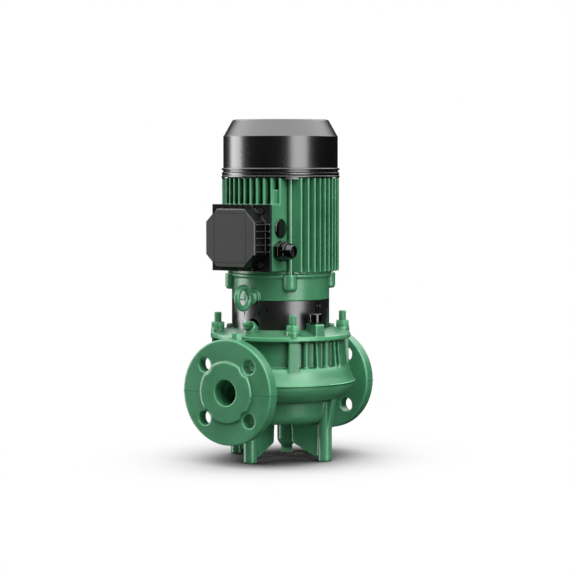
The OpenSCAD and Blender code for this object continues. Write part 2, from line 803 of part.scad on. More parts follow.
// Bleed screw with a small outlet in its tip
module vent_screw() {
  l = vent_neck_l + 3.5;
  outline = [[0, 0], [vent_screw_d / 2, 0], [vent_screw_d / 2, l - 0.4], [vent_screw_d / 2 - 0.4, l],
    [0, l]];
  color(steel_grey) translate(vent_at) rotate([vent_tilt, 0, 0]) translate([0, 0, -0.5]) difference() {
    turned(outline);
    translate([0, 0, 4]) cylinder(h = l, r = 1.3);
    translate([-0.5, -5, l - 1.2]) cube([1, 10, 2]);
  }
}

module drive_end_shield() {
  boss_z = tie_boss_z;
  boss_r = 8.7;
  lip = 1.8;
  wall_in = spigot_r - 4;
  top = motor_z + shield_h;
  pocket_z = drive_bearing_z;
  color(body_green) difference() {
    union() {
      turned([[bearing_bore_r + 5, motor_z], [shield_r, motor_z], [shield_r, top - 5],
        [shield_r + lip, top - 3.5], [shield_r + lip, top], [spigot_r, top], [spigot_r, top + spigot_h],
        [wall_in, top + spigot_h], [wall_in, motor_z + 8], [bearing_r + 6, motor_z + 8],
        [bearing_r + 6, pocket_z + bearing_w], [bearing_r + fit, pocket_z + bearing_w],
        [bearing_r + fit, pocket_z], [bearing_bore_r + 5, pocket_z]]);
      on_circle(tie_circle_r - 3, corner) {
        translate([0, 0, boss_z + 3]) cylinder(h = top - boss_z - 3, r = boss_r);
        translate([0, 0, boss_z]) cylinder(h = 3, r1 = boss_r - 2.5, r2 = boss_r);
      }
      for (a = [90, 270]) rotate([0, 0, a]) translate([shield_r - 8, 0, eye_z]) rotate([0, 90, 0])
        intersection() {
          cylinder(h = 11, r = 12);
          translate([-20, -20, 0]) cube([20 + eye_z - motor_z, 40, 20]);
        }
    }
    on_circle(tie_circle_r, corner)
      translate([0, 0, tie_foot_z - 2]) cylinder(h = shield_h, r = tie_d / 2 + fit);
    stool_screw_places() cylinder(h = 17.5, r = stool_screw_r + fit);
    for (a = [90, 270]) rotate([0, 0, a]) translate([eye_seat_y - 10, 0, eye_z]) rotate([0, 90, 0])
      cylinder(h = 12, r = 4 + fit);
  }
}

// Lifting eye with its thread pointing down and the seat at z = 0
module eyebolt() {
  centre_up = eye_ring_d / 2 + 1;
  ring_mid_r = (eye_ring_d - eye_ring_t) / 2;
  turned([[0, -9], [4, -9], [4, 0], [10, 0], [10, 3], [7, 6], [0, 6]]);
  translate([0, 0, centre_up]) rotate([0, 90, 0]) rotate_extrude()
    translate([ring_mid_r, 0]) circle(d = eye_ring_t);
}

module eyebolt_front() {
  color(body_green) translate([0, -eye_seat_y, eye_z]) rotate([90, 0, 0]) eyebolt();
}

module eyebolt_rear() {
  color(body_green) translate([0, eye_seat_y, eye_z]) rotate([-90, 0, 0]) eyebolt();
}

module tie_bolts() {
  head_z = housing_top_z + 6;
  color(body_green) on_circle(tie_circle_r, corner) {
    translate([0, 0, tie_foot_z]) cylinder(h = head_z - tie_foot_z + lap, d = tie_d);
    translate([0, 0, head_z + fit]) hexagon(8.4, 4);
  }
}

// Parallel fins of one side, cut to the round envelope
module fin_group(low, high, places) {
  intersection() {
    for (y = places) translate([tube_r - 24, y - fin_w / 2, low]) cube([40, fin_w, high - low]);
    translate([0, 0, low - lap]) cylinder(h = high - low + 2 * lap, r = fin_tip_r);
  }
}

// Solid block between the last two fins above the terminal box
module fin_block(low) {
  first = front_fins[len(front_fins) - 2];
  last = front_fins[len(front_fins) - 1];
  intersection() {
    translate([tube_r - 24, first, low]) cube([40, last - first, 20]);
    translate([0, 0, low - lap]) cylinder(h = 22, r = fin_tip_r - 2.5);
  }
}

module terminal_base() {
  translate([-base_half_w, -box_reach, box_z - base_h / 2])
    cube([2 * base_half_w, box_reach - tube_r + 24, base_h]);
}

module gland_axis(y, z) {
  translate([base_half_w, y, z]) rotate([0, 90, 0]) children();
}

module motor_housing() {
  low = housing_z + 3.3;
  high = housing_top_z - 2.5;
  base_top = box_z + base_h / 2;
  cavity_w = 2 * base_half_w - 2 * base_wall;
  color(body_green) difference() {
    union() {
      translate([0, 0, housing_z]) cylinder(h = housing_h, r = tube_r);
      for (a = [0, 90, 180]) rotate([0, 0, a]) fin_group(low, high, side_fins);
      rotate([0, 0, 270]) {
        fin_group(base_top - lap, high, front_fins);
        fin_block(base_top - lap);
      }
      terminal_base();
      on_circle(tube_r - 4, corner) translate([0, 0, housing_z]) cylinder(h = 3, r = 6);
    }
    translate([0, 0, housing_z - lap]) cylinder(h = housing_h + 2 * lap, r = stator_r);
    difference() {
      translate([-cavity_w / 2, -box_reach - lap, box_z - base_h / 2 + base_wall])
        cube([cavity_w, box_reach - base_floor_y + lap, base_h - 2 * base_wall]);
      lid_screw_places() translate([0, 0, base_floor_y - box_reach])
        cylinder(h = box_reach - base_floor_y, r = 6);
    }
    translate([0, -stator_r + 5, box_z + 26]) rotate([90, 0, 0]) cylinder(h = 40, r = 6);
    gland_axis(gland_y, gland_z) translate([0, 0, -12]) cylinder(h = 14, r = 10);
    gland_axis(blind_y, blind_z) translate([0, 0, -3]) cylinder(h = 5, r = 10);
    on_circle(tie_circle_r, corner)
      translate([0, 0, housing_z - lap]) cylinder(h = housing_h + 2 * lap, r = tie_d / 2 + 0.2);
    lid_screw_places() translate([0, 0, -10]) cylinder(h = 12, r = 2);
    translate([-22, -base_floor_y + 4, box_z - 24]) rotate([90, 0, 0]) cylinder(h = 5, r = 2);
  }
}

module stator_core() {
  color(iron_grey) translate([0, 0, stack_z]) ring(stator_r - fit, rotor_r + 0.4, stack_h);
}

module stator_windings() {
  head_h = 17;
  head = [[rotor_r + 4, 0], [stator_r - 4, 0], [stator_r - 4, head_h - 5], [stator_r - 9, head_h],
    [rotor_r + 8, head_h], [rotor_r + 4, head_h - 5]];
  color(copper) {
    translate([0, 0, stack_z + stack_h]) turned(head);
    translate([0, 0, stack_z]) mirror([0, 0, 1]) turned(head);
  }
}

module rear_end_shield() {
  top = housing_top_z;
  pocket_top = rear_bearing_z + bearing_w + 1.4;
  wall_in = spigot_r - 4;
  color(body_green) difference() {
    union() {
      turned([[bearing_r + fit, top - 1], [bearing_r + 6, top - 1], [wall_in, top - 1],
        [wall_in, top - spigot_h], [spigot_r, top - spigot_h], [spigot_r, top],
        [tube_r, top], [tube_r, top + 4],
        [bearing_r + 8, top + 5], [bearing_r + 6, pocket_top + 2.5], [bearing_bore_r + 3, pocket_top + 2.5],
        [bearing_bore_r + 3, pocket_top], [bearing_r + fit, pocket_top]]);
      on_circle(tie_circle_r, corner) translate([0, 0, top]) cylinder(h = 6, r = 5.2);
      on_circle(tie_circle_r - 8, corner) translate([-6, -5.2, top]) cube([14, 10.4, 6]);
    }
    on_circle(tie_circle_r, corner) translate([0, 0, top - lap]) cylinder(h = 10, r = tie_d / 2 + fit);
  }
}

module bearing_outer(z) {
  groove_r = (bearing_r + bearing_bore_r) / 2;
  difference() {
    translate([0, 0, z]) ring(bearing_r, groove_r + 2.6, bearing_w);
    translate([0, 0, z + bearing_w / 2]) rotate_extrude() translate([groove_r, 0]) circle(r = 4);
  }
}

module bearing_inner(z) {
  groove_r = (bearing_r + bearing_bore_r) / 2;
  difference() {
    translate([0, 0, z]) ring(groove_r - 2.6, bearing_bore_r, bearing_w);
    translate([0, 0, z + bearing_w / 2]) rotate_extrude() translate([groove_r, 0]) circle(r = 4);
  }
}

module bearing_balls(z) {
  groove_r = (bearing_r + bearing_bore_r) / 2;
  on_circle(groove_r, [for (i = [0 : ball_count - 1]) i * 360 / ball_count])
    translate([0, 0, z + bearing_w / 2]) sphere(r = 4 - fit);
}

module drive_bearing_outer() {
  color(steel_grey) bearing_outer(drive_bearing_z);
}

module drive_bearing_inner() {
  color(steel_grey) bearing_inner(drive_bearing_z);
}

module drive_bearing_balls() {
  color(steel_grey) bearing_balls(drive_bearing_z);
}

module rear_bearing_outer() {
  color(steel_grey) bearing_outer(rear_bearing_z);
}

module rear_bearing_inner() {
  color(steel_grey) bearing_inner(rear_bearing_z);
}

module rear_bearing_balls() {
  color(steel_grey) bearing_balls(rear_bearing_z);
}

module wave_spring() {
  color(steel_grey) translate([0, 0, rear_bearing_z + bearing_w + fit])
    ring(bearing_r - 0.5, bearing_r - 5, 1.2);
}

module motor_shaft() {
  drive = drive_bearing_z;
  top = clip_z + 5;
  groove_r = fan_seat_r - 0.8;
  color(steel_grey) turned([[0, socket_z + fit], [shaft_end_d / 2 - 1, socket_z + fit],
    [shaft_end_d / 2, socket_z + 1 + fit], [shaft_end_d / 2, drive - 3], [bearing_bore_r - fit, drive - 3],
    [bearing_bore_r - fit, drive + bearing_w], [rotor_shaft_r, drive + bearing_w],
    [rotor_shaft_r, rear_bearing_z], [bearing_bore_r - fit, rear_bearing_z],
    [bearing_bore_r - fit, fan_z - 1], [fan_seat_r, fan_z - 1], [fan_seat_r, clip_z], [groove_r, clip_z],
    [groove_r, clip_z + 1.3], [fan_seat_r, clip_z + 1.3], [fan_seat_r, top - 1], [fan_seat_r - 1, top],
    [0, top]]);
}

module rotor_core() {
  color(iron_grey) translate([0, 0, stack_z]) ring(rotor_r, rotor_shaft_r + fit, stack_h);
}

// End rings of the cast cage, with short cooling blades
module rotor_cage() {
  color(steel_grey) for (s = [0, 1]) translate([0, 0, stack_z + s * stack_h]) mirror([0, 0, 1 - s]) {
    ring(rotor_r - 2, rotor_r - 14, 7);
    on_circle(rotor_r - 8, [for (i = [0 : 7]) i * 45]) translate([-4, -1, 6]) cube([8, 2, 8]);
  }
}

module fan() {
  plate_z = fan_z + 3;
  color(plastic_black) difference() {
    union() {
      translate([0, 0, fan_z]) cylinder(h = clip_z - fan_z - fit, r = 14);
      turned([[10, plate_z], [fan_r - 6, plate_z], [fan_r - 6, plate_z + 2], [10, plate_z + 4]]);
      for (i = [0 : blade_count - 1]) rotate([0, 0, i * 360 / blade_count])
        translate([12, -1, plate_z + 1]) cube([fan_r - 12, 2, fan_h]);
    }
    translate([0, 0, fan_z - lap]) cylinder(h = fan_h, r = fan_seat_r + fit);
    translate([0, 0, clip_z - fit]) cylinder(h = fan_h, r = 13);
  }
}

module fan_clip() {
  color(steel_grey) translate([0, 0, clip_z + fit]) difference() {
    ring(fan_seat_r + 3, fan_seat_r - 0.7, 1.2);
    translate([0, -1.5, -lap]) cube([20, 3, 4]);
  }
}

// Concentric slots of the air inlet, crossed by spokes
module inlet_slots(r_last) {
  slot_w = 4.2;
  pitch = 7.6;
  first = 14;
  spokes = 8;
  difference() {
    for (r = [first : pitch : r_last - slot_w]) difference() {
      circle(r = r + slot_w);
      circle(r = r);
    }
    for (i = [0 : spokes / 2 - 1]) rotate([0, 0, i * 360 / spokes + 22.5])
      square([2 * r_last, 4], center = true);
  }
}

module fan_cover() {
  bead = 2.4;
  rim_out = cowl_r + 2.6;
  wall_in = cowl_r - cowl_t;
  cone_z = cowl_h - cowl_cone_h;
  outline = [[rim_out - 0.4, 0], [rim_out, 0.6], [rim_out, 1.6], [rim_out - 1.1, 2.6],
    [rim_out - 0.6, 4.2], [rim_out - 0.6, 6], [rim_out - 1.6, 7], [cowl_r + 0.3, 7.6],
    [cowl_r + 0.3, 9.2], [cowl_r + bead - 0.6, 9.8], [cowl_r + bead, 10.4], [cowl_r + bead, 11.6],
    [cowl_r + bead - 0.6, 12.2], [cowl_r, 12.8],
    [cowl_r, cone_z - 0.8], [cowl_r - 0.5, cone_z], [cowl_top_r + 1, cowl_h - 1.6],
    [cowl_top_r, cowl_h - 0.5], [cowl_top_r - 1.5, cowl_h], [0, cowl_h]];
  inside = [[0, cowl_h - cowl_t], [cowl_top_r - 1.6, cowl_h - cowl_t], [wall_in, cone_z - 0.6],
    [wall_in, 8], [rim_out - cowl_t - 0.6, 7], [rim_out - cowl_t, 0]];
  tab = [[rim_out - cowl_t + 0.2, -2.4], [rim_out - 0.5, -2.4], [rim_out - 0.5, 0.8],
    [rim_out - cowl_t + 0.2, 0.8]];
  color(plastic_black) translate([0, 0, cowl_z]) difference() {
    union() {
      turned(concat(outline, inside));
      for (a = corner) turned_sector(tab, a - 6.5, a + 6.5);
    }
    translate([0, 0, cowl_h - cowl_t - lap]) linear_extrude(height = cowl_t + 2 * lap)
      inlet_slots(cowl_top_r - 3);
  }
}

module lid_screw_places() {
  for (x = [-1, 1]) for (z = [-1, 1])
    translate([x * lid_screw_x, -box_reach, box_z + z * lid_screw_z]) rotate([90, 0, 0]) children();
}

module terminal_gasket() {
  in_w = 2 * base_half_w - 2 * base_wall;
  in_h = base_h - 2 * base_wall;
  color(rubber_black) difference() {
    translate([-base_half_w, -box_reach - 1, box_z - base_h / 2]) cube([2 * base_half_w, 1, base_h]);
    translate([-in_w / 2, -box_reach - 2, box_z - in_h / 2]) cube([in_w, 3, in_h]);
    lid_screw_places() cylinder(h = 4, r = 2.4, center = true);
  }
}

module terminal_board() {
  color([0.75, 0.7, 0.6]) difference() {
    translate([-28, -base_floor_y - 7, box_z - 16]) cube([56, 7, 32]);
    terminal_stud_places() translate([0, 0, -lap]) cylinder(h = 10, r = 2 + fit);
  }
}

module terminal_stud_places() {
  for (x = [-16, 0, 16]) for (z = [-9, 9])
    translate([x, -base_floor_y - 3, box_z + z]) rotate([90, 0, 0]) children();
}

module terminal_studs() {
  color(bronze) terminal_stud_places() {
    cylinder(h = 14, r = 2);
    translate([0, 0, 4.2]) hexagon(7, 3);
  }
}

module octagon(w, h, cut) {
  polygon([[-w / 2, cut - h / 2], [cut - w / 2, -h / 2], [w / 2 - cut, -h / 2], [w / 2, cut - h / 2],
    [w / 2, h / 2 - cut], [w / 2 - cut, h / 2], [cut - w / 2, h / 2], [-w / 2, h / 2 - cut]]);
}

// Side view of a gusset between the wall of the eight-sided front and the plate's edge
function gusset(lid, plate) = [[lid / 2 - lap, plate_t - lap], [plate / 2 - 0.8, plate_t - lap],
  [plate / 2 - 0.8, plate_t + 0.6], [lid / 2 + 0.4, lid_depth - 3], [lid / 2 - lap, lid_depth - 3]];

// Deep eight-sided cover on a square plate, with gussets on its four sides
module terminal_cover() {
  gusset_pitch = 8.9;
  gusset_t = 1.2;
  color(plastic_black) translate([0, -box_reach - 1, box_z]) rotate([90, 0, 0]) difference() {
    union() {
      translate([-box_w / 2, -box_h / 2, 0]) cube([box_w, box_h, plate_t]);
      linear_extrude(height = lid_depth - 1.2) octagon(lid_w, lid_h, lid_cut);
      linear_extrude(height = lid_depth) octagon(lid_w - 2.4, lid_h - 2.4, lid_cut - 0.8);
      for (i = [-2 : 2]) for (a = [0, 180]) {
        rotate([0, 0, a]) translate([0, i * gusset_pitch, 0]) upright_plate(gusset(lid_w, box_w), gusset_t);
        rotate([0, 0, a + 90]) translate([0, i * gusset_pitch, 0])
          upright_plate(gusset(lid_h, box_h), gusset_t);
      }
    }
    translate([0, 0, -lap]) linear_extrude(height = lid_depth - lid_t + lap)
      octagon(lid_w - 2 * lid_t, lid_h - 2 * lid_t, lid_cut - lid_t / 2);
    for (x = [-1, 1]) for (z = [-1, 1]) translate([x * lid_screw_x, z * lid_screw_z, -lap]) {
      cylinder(h = plate_t + 2 * lap, r = 2.3);
      translate([0, 0, plate_t]) cylinder(h = lid_depth, r = 5);
    }
  }
}

module terminal_cover_screws() {
  color(steel_grey) lid_screw_places() translate([0, 0, 1 + plate_t]) difference() {
    union() {
      cylinder(h = 2.6, r = 4);
      mirror([0, 0, 1]) cylinder(h = 13, r = 2 - fit);
    }
    translate([-0.6, -5, 1.4]) cube([1.2, 10, 2]);
  }
}

module gland_body() {
  color(plastic_black) gland_axis(gland_y, gland_z) difference() {
    union() {
      hexagon(gland_af, 7);
      translate([0, 0, -9]) cylinder(h = 10, r = 10 - fit);
      translate([0, 0, 6]) cylinder(h = 10, r = 9.2);
    }
    translate([0, 0, -10]) cylinder(h = 30, r = 7.4);
  }
}

module gland_seal() {
  color(rubber_black) gland_axis(gland_y, gland_z) translate([0, 0, 4])
    ring(7.4 - fit, cable_hole_d / 2, 16);
}

module gland_nut() {
  color(plastic_black) gland_axis(gland_y, gland_z) translate([0, 0, 7 + fit]) difference() {
    union() {
      hexagon(gland_af - 1, 8);
      turned([[0, 7], [11, 7], [11, 12], [9.4, 16], [7.5, 18.5], [0, 18.5]]);
    }
    translate([0, 0, -lap]) cylinder(h = 10 + lap, r = 9.2 + fit);
    translate([0, 0, 8]) cylinder(h = 12, r = 7.4);
    translate([0, 0, -lap]) cylinder(h = 24, r = cable_hole_d / 2);
  }
}

module blind_plug() {
  color(plastic_black) gland_axis(blind_y, blind_z) {
    turned([[0, 0], [blind_d / 2, 0], [blind_d / 2, 1.2], [blind_d / 2 - 1, 2.2], [0, 2.2]]);
    translate([0, 0, -2.8]) cylinder(h = 3, r = 10 - fit);
  }
}

module earth_screw() {
  color(bronze) translate([-22, -base_floor_y, box_z - 24]) rotate([90, 0, 0]) {
    cylinder(h = 2.5, r = 3.5);
    mirror([0, 0, 1]) cylinder(h = 3.5, r = 2 - fit);
  }
}

pump_casing();
wear_ring();
casing_cover();
casing_gasket();
seal_seat();
seal_ring();
seal_spring();
impeller();
impeller_key();
impeller_nut();
coupling_shaft();
coupling_screws();
suction_port_plug();
discharge_port_plug();
drain_plug();
casing_studs();
casing_nuts();
stool();
stool_cap_screws();
stool_motor_screws();
guard_front();
guard_rear();
guard_screws();
vent_body();
vent_screw();
drive_end_shield();
eyebolt_front();
eyebolt_rear();
tie_bolts();
motor_housing();
stator_core();
stator_windings();
rear_end_shield();
drive_bearing_outer();
drive_bearing_inner();
drive_bearing_balls();
rear_bearing_outer();
rear_bearing_inner();
rear_bearing_balls();
wave_spring();
motor_shaft();
rotor_core();
rotor_cage();
fan();
fan_clip();
fan_cover();
terminal_gasket();
terminal_board();
terminal_studs();
terminal_cover();
terminal_cover_screws();
gland_body();
gland_seal();
gland_nut();
blind_plug();
earth_screw();
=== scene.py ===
"""Looks of the inline circulation pump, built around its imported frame.

Shapes are worked out in millimetres, the scene is in metres, and colours are linear values.
"""
import json
import math

import bpy
from mathutils import Matrix, Vector


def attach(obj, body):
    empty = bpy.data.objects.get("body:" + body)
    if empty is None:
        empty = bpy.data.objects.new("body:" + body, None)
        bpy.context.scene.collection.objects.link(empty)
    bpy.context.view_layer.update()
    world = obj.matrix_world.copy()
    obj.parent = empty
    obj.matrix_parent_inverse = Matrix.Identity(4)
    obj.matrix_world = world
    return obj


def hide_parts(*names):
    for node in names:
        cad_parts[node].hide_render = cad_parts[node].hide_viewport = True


MM = 0.001

# Camera, worked out from the flanges and the motor outline in the photograph
CAMERA_AZIMUTH = math.radians(34.168)
CAMERA_YAW = math.radians(34.045)
CAMERA_PITCH = math.radians(3.154)
CAMERA_DISTANCE = 2.8
CAMERA_HEIGHT = 0.3888
CAMERA_REACH = 50.0
SENSOR = 36.0
LENS = 130.58

# Places that the details share with the solids, in millimetres
PIPE_Z = 99.0
VOLUTE_Z = 106.0
VOLUTE_R = 101.0
JOINT_Z = 168.0
RIM_R = 95.0
FLANGE_FRONT = 127.0
FLANGE_BACK = 110.0
FLANGE_R = 70.0
RAISED_R = 40.0
STUD_CIRCLE_R = 86.0
STUD_R = 5.0
STUD_FOOT_Z = 144.0
STUD_TOP_Z = 199.0
NUT_AF = 17.0
NUT_Z = 177.3
NUT_H = 8.5
MOTOR_Z = 216.7
GUARD_R = 66.0
BOX_Z = 301.0
LID_BACK = 89.0
LID_DEPTH = 29.0
LID_W = 78.6
LID_H = 77.0
LID_CUT = 17.3
CORNERS = (45, 135, 225, 315)

# Details of the nuts and studs, in millimetres and degrees
NUT_TURN = -27.0
NUT_CHAMFER = 0.9
WASHER_T = 1.4
WASHER_OVER = 0.3
THREAD_PITCH = 1.5
THREAD_DEPTH = 0.45
THREAD_GAP = 0.1

# Details of the mould's seams, in millimetres
SEAM_H = 0.6
SEAM_RISE = 0.65
SEAM_HALF = 0.8
SEAM_SHADOW_H = 0.7
SEAM_STEPS = 180

# Details of the terminal cover's front, in millimetres
LID_OVER = 0.1
LID_BEVEL = 2.2
LID_SIDE_LINE_X = 25.3
LID_SIDE_LINE_END = 36.8
LID_CROSS_LINES = (-32.0, 33.0)
LID_CROSS_LINE_END = 26.0

# Slots of the coupling guard: angle in degrees, and how far each starts below the motor, in millimetres
GUARD_SLOTS = ((-102.7, 19.7), (-81.6, 18.7), (-72.0, 14.7))
GUARD_SLOT_H = 4.6
GUARD_SLOT_HALF = 0.9

# Light panels stand this far from the middle of the object, in metres
LIGHT_CENTRE = Vector((0.0, 0.0, 0.25))
LIGHT_DISTANCE = 1.6

# What glossy faces mirror of the world: dark up to a height, then a bright ceiling, as sines of the height
WORLD_DARK_TO = 0.25
WORLD_BRIGHT_FROM = 0.65
WORLD_DARK = 0.01
WORLD_BRIGHT = 2.7
WORLD_FILL = 0.22

# Painted shadow on the floor: how far over the floor the object shades it, in metres, and the open share at which the
# shade is full and gone
FLOOR_HALF = 12.0
FLOOR_REACH = 0.2
FLOOR_SHADE = (0.22, 0.95)
FLOOR_DARKEST = 0.004

# Pointiness at which a surface counts as an inner corner, with full painted shade, and as an outer edge, with full
# painted highlight
EDGE_LIGHT_RANGE = (0.45, 0.55)

# Green paint as the photograph shows it, from its deep to its pale clouds
GREENS = ((0.041, 0.172, 0.081), (0.050, 0.205, 0.099), (0.063, 0.236, 0.120))
PAINT = dict(colours=GREENS, stops=(0.3, 0.5, 0.72), colour_scale=22.0, roughness=(0.28, 0.4), grain_scale=420.0,
             grain_depth=0.00022, specular=0.6, coat=0.4, coat_roughness=0.2, tint=(0.75, 1.0, 0.85))

# Finishes by name. The recess entry is painted shade: how near a neighbour darkens the surface, in metres, the
# darkest factor, and the open share of the sky above which nothing is darkened. The edges entry is painted light: the
# factors of the painted shade in inner corners and of the painted highlight on outer edges.
FINISHES = {
    # Painted shade in recesses and inner corners, and a painted highlight on outer edges
    "green_paint": dict(PAINT, recess_shade=(0.012, 0.35, 0.85), edges=(0.35, 1.85)),
    # Between the fins almost no light gets in: painted shade, much deeper than on the rest of the paint
    "green_fins": dict(PAINT, recess_shade=(0.014, 0.03, 0.45), edges=(0.6, 1.6)),
    # Painted light: the long tie bolts stand free and catch the light, so their green is painted lighter than the
    # paint
    "green_bolts": dict(colours=(GREENS[2], (0.095, 0.300, 0.165)), colour_scale=22.0, roughness=(0.16, 0.24),
                        grain_scale=420.0, grain_depth=0.00005, specular=1.0, coat=0.8, coat_roughness=0.12),
    # Painted shadow: near-black green for the strip of shade under a mould seam
    "seam_green": dict(colours=((0.008, 0.040, 0.018), (0.008, 0.040, 0.018)), roughness=(0.5, 0.6), specular=0.2),
    "gloss_black": dict(colours=((0.0012, 0.0012, 0.0013), (0.002, 0.002, 0.0022)), colour_scale=30.0,
                        roughness=(0.24, 0.3), grain_scale=1400.0, grain_depth=0.000004, specular=0.9, coat=0.9,
                        coat_roughness=0.25),
    # Painted shade where neighbours close over the cover's recesses
    "matt_black": dict(colours=((0.004, 0.004, 0.0042), (0.006, 0.006, 0.0064)), colour_scale=60.0,
                       roughness=(0.2, 0.3), grain_scale=2200.0, grain_depth=0.00002, specular=0.6,
                       recess_shade=(0.01, 0.1, 0.85)),
    # Painted sheen: the terminal cover's front is a lighter black than the rest of the cover, with a fine grain
    "lid_face_black": dict(colours=((0.03, 0.03, 0.031), (0.036, 0.036, 0.037)), colour_scale=25.0,
                           roughness=(0.5, 0.6), grain_scale=1800.0, grain_depth=0.00004),
    # Smooth moulded nylon of the gland and its nut
    "gland_black": dict(colours=((0.001, 0.001, 0.001), (0.0015, 0.0015, 0.0015)), colour_scale=60.0,
                        roughness=(0.08, 0.13), grain_depth=0.000003, specular=0.6, coat=0.4, coat_roughness=0.06),
    "shadow_black": dict(colours=((0.001, 0.001, 0.001), (0.0012, 0.0012, 0.0012)), roughness=(0.8, 0.9),
                         specular=0.05),
    "satin_black": dict(colours=((0.004, 0.004, 0.004), (0.006, 0.0058, 0.0058)), roughness=(0.28, 0.36),
                        grain_scale=1500.0, specular=1.0, coat=0.8, coat_roughness=0.3),
    "black_steel": dict(colours=((0.016, 0.016, 0.017), (0.03, 0.03, 0.031)), colour_scale=120.0,
                        roughness=(0.3, 0.45), grain_scale=1800.0, grain_depth=0.00002, metallic=0.3, specular=0.6),
}
SLOT_FINISHES = {"green_paint": "green_paint", "gloss_black_plastic": "gloss_black",
                 "matt_black_plastic": "matt_black", "black_sheet": "satin_black", "black_steel": "black_steel"}
NODE_FINISHES = {"tie_bolts": "green_bolts"}
# Slots that only the inner pieces use take the record's colour, with clouds this much darker
INNER_CLOUD = 0.8


def node_tree(owner):
    owner.use_nodes = True
    return owner.node_tree.nodes, owner.node_tree.links


def add_noise(nodes, links, scale, detail=4.0):
    coords = nodes.new("ShaderNodeTexCoord")
    noise = nodes.new("ShaderNodeTexNoise")
    noise.inputs["Scale"].default_value = scale
    noise.inputs["Detail"].default_value = detail
    noise.inputs["Roughness"].default_value = 0.55
    links.new(coords.outputs["Object"], noise.inputs["Vector"])
    return noise.outputs["Fac"]


def add_ramp(nodes, links, source, colours, stops):
    ramp = nodes.new("ShaderNodeValToRGB")
    while len(ramp.color_ramp.elements) < len(stops):
        ramp.color_ramp.elements.new(0.5)
    for element, position, colour in zip(ramp.color_ramp.elements, stops, colours):
        element.position = position
        element.color = (*colour, 1.0)
    links.new(source, ramp.inputs["Fac"])
    return ramp.outputs["Color"]


def add_map(nodes, links, source, span=(0.0, 1.0), low=0.0, high=1.0, smooth=False):
    """Maps a value from its span to the values low to high."""
    curve = nodes.new("ShaderNodeMapRange")
    if smooth:
        curve.interpolation_type = "SMOOTHSTEP"
    curve.inputs["From Min"].default_value, curve.inputs["From Max"].default_value = span
    curve.inputs["To Min"].default_value = low
    curve.inputs["To Max"].default_value = high
    links.new(source, curve.inputs["Value"])
    return curve


def add_openness(nodes, links, reach, samples):
    """Share of the sky that neighbours closer than reach leave open."""
    occlusion = nodes.new("ShaderNodeAmbientOcclusion")
    occlusion.samples = samples
    occlusion.inputs["Distance"].default_value = reach
    return occlusion.outputs["AO"]


def multiply(nodes, links, colour, factor):
    mixed = nodes.new("ShaderNodeMix")
    mixed.data_type = "RGBA"
    mixed.blend_type = "MULTIPLY"
    mixed.inputs["Factor"].default_value = 1.0
    links.new(colour, mixed.inputs["A"])
    links.new(factor, mixed.inputs["B"])
    return mixed.outputs["Result"]


# Painted shade: darkens the colour where neighbours close over the surface
def paint_recess_shade(nodes, links, colour, reach, darkest, open_at):
    sky = add_openness(nodes, links, reach, samples=6)
    curve = add_map(nodes, links, sky, (0.1, open_at), darkest, smooth=True)
    return multiply(nodes, links, colour, curve.outputs["Result"])


def paint_edge_light(nodes, links, colour, dull, bright):
    """Painted highlight on the outer edges of a casting and painted shade in its inner corners."""
    geometry = nodes.new("ShaderNodeNewGeometry")
    curve = add_map(nodes, links, geometry.outputs["Pointiness"], EDGE_LIGHT_RANGE, dull, bright)
    return multiply(nodes, links, colour, curve.outputs["Result"])


def surface(name, colours, stops=(0.3, 0.7), colour_scale=40.0, roughness=(0.3, 0.5), grain_scale=900.0,
            grain_depth=0.00001, metallic=0.0, specular=0.5, coat=0.0, coat_roughness=0.2, recess_shade=None, edges=None,
            tint=None):
    """A finish whose colour, roughness and grain vary over the surface, with painted shade in recesses and painted
    highlights on edges where the finish asks for them.
    """
    material = bpy.data.materials.new(name)
    nodes, links = node_tree(material)
    shader = nodes["Principled BSDF"]
    shader.inputs["Metallic"].default_value = metallic
    shader.inputs["Specular IOR Level"].default_value = specular
    shader.inputs["Coat Weight"].default_value = coat
    shader.inputs["Coat Roughness"].default_value = coat_roughness
    if tint is not None:
        shader.inputs["Specular Tint"].default_value = (*tint, 1.0)
    clouds = add_noise(nodes, links, colour_scale)
    colour = add_ramp(nodes, links, clouds, colours, stops)
    if recess_shade is not None:
        colour = paint_recess_shade(nodes, links, colour, *recess_shade)
    if edges is not None:
        colour = paint_edge_light(nodes, links, colour, *edges)
    links.new(colour, shader.inputs["Base Color"])
    links.new(add_map(nodes, links, clouds, (0.0, 1.0), *roughness).outputs["Result"], shader.inputs["Roughness"])
    bump = nodes.new("ShaderNodeBump")
    bump.inputs["Strength"].default_value = 1.0
    bump.inputs["Distance"].default_value = grain_depth
    links.new(add_noise(nodes, links, grain_scale, detail=6.0), bump.inputs["Height"])
    links.new(bump.outputs["Normal"], shader.inputs["Normal"])
    return material


def finish(name):
    """The material of a finish, made when it is first asked for."""
    if name not in made:
        made[name] = surface(name, **FINISHES[name])
    return made[name]


def slot_material(slot_name):
    """The material of one of the record's slots."""
    if slot_name in SLOT_FINISHES:
        return finish(SLOT_FINISHES[slot_name])
    if slot_name not in made:
        colour = next(m["base_color"][:3] for m in frame["record"]["materials"] if m["slot"] == slot_name)
        cloud = tuple(c * INNER_CLOUD for c in colour)
        made[slot_name] = surface(slot_name, (cloud, tuple(colour)), grain_depth=0.00003)
    return made[slot_name]


def dress_nodes():
    for part in frame["record"]["subparts"]:
        node_name = part["node"]
        materials = frame["nodes"][node_name].data.materials
        materials.clear()
        if node_name in NODE_FINISHES:
            materials.append(finish(NODE_FINISHES[node_name]))
        else:
            materials.append(slot_material(part["material_slot"]))


def add_object(name, mesh, slot_name, replaced=(), finish_name=None):
    """Links a piece, gives it its finish and ties it to the pump's fixed body."""
    piece = bpy.data.objects.new(name, mesh)
    bpy.context.scene.collection.objects.link(piece)
    mesh.materials.clear()
    mesh.materials.append(finish(finish_name) if finish_name else slot_material(slot_name))
    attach(piece, "root")
    if replaced:
        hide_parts(*replaced)


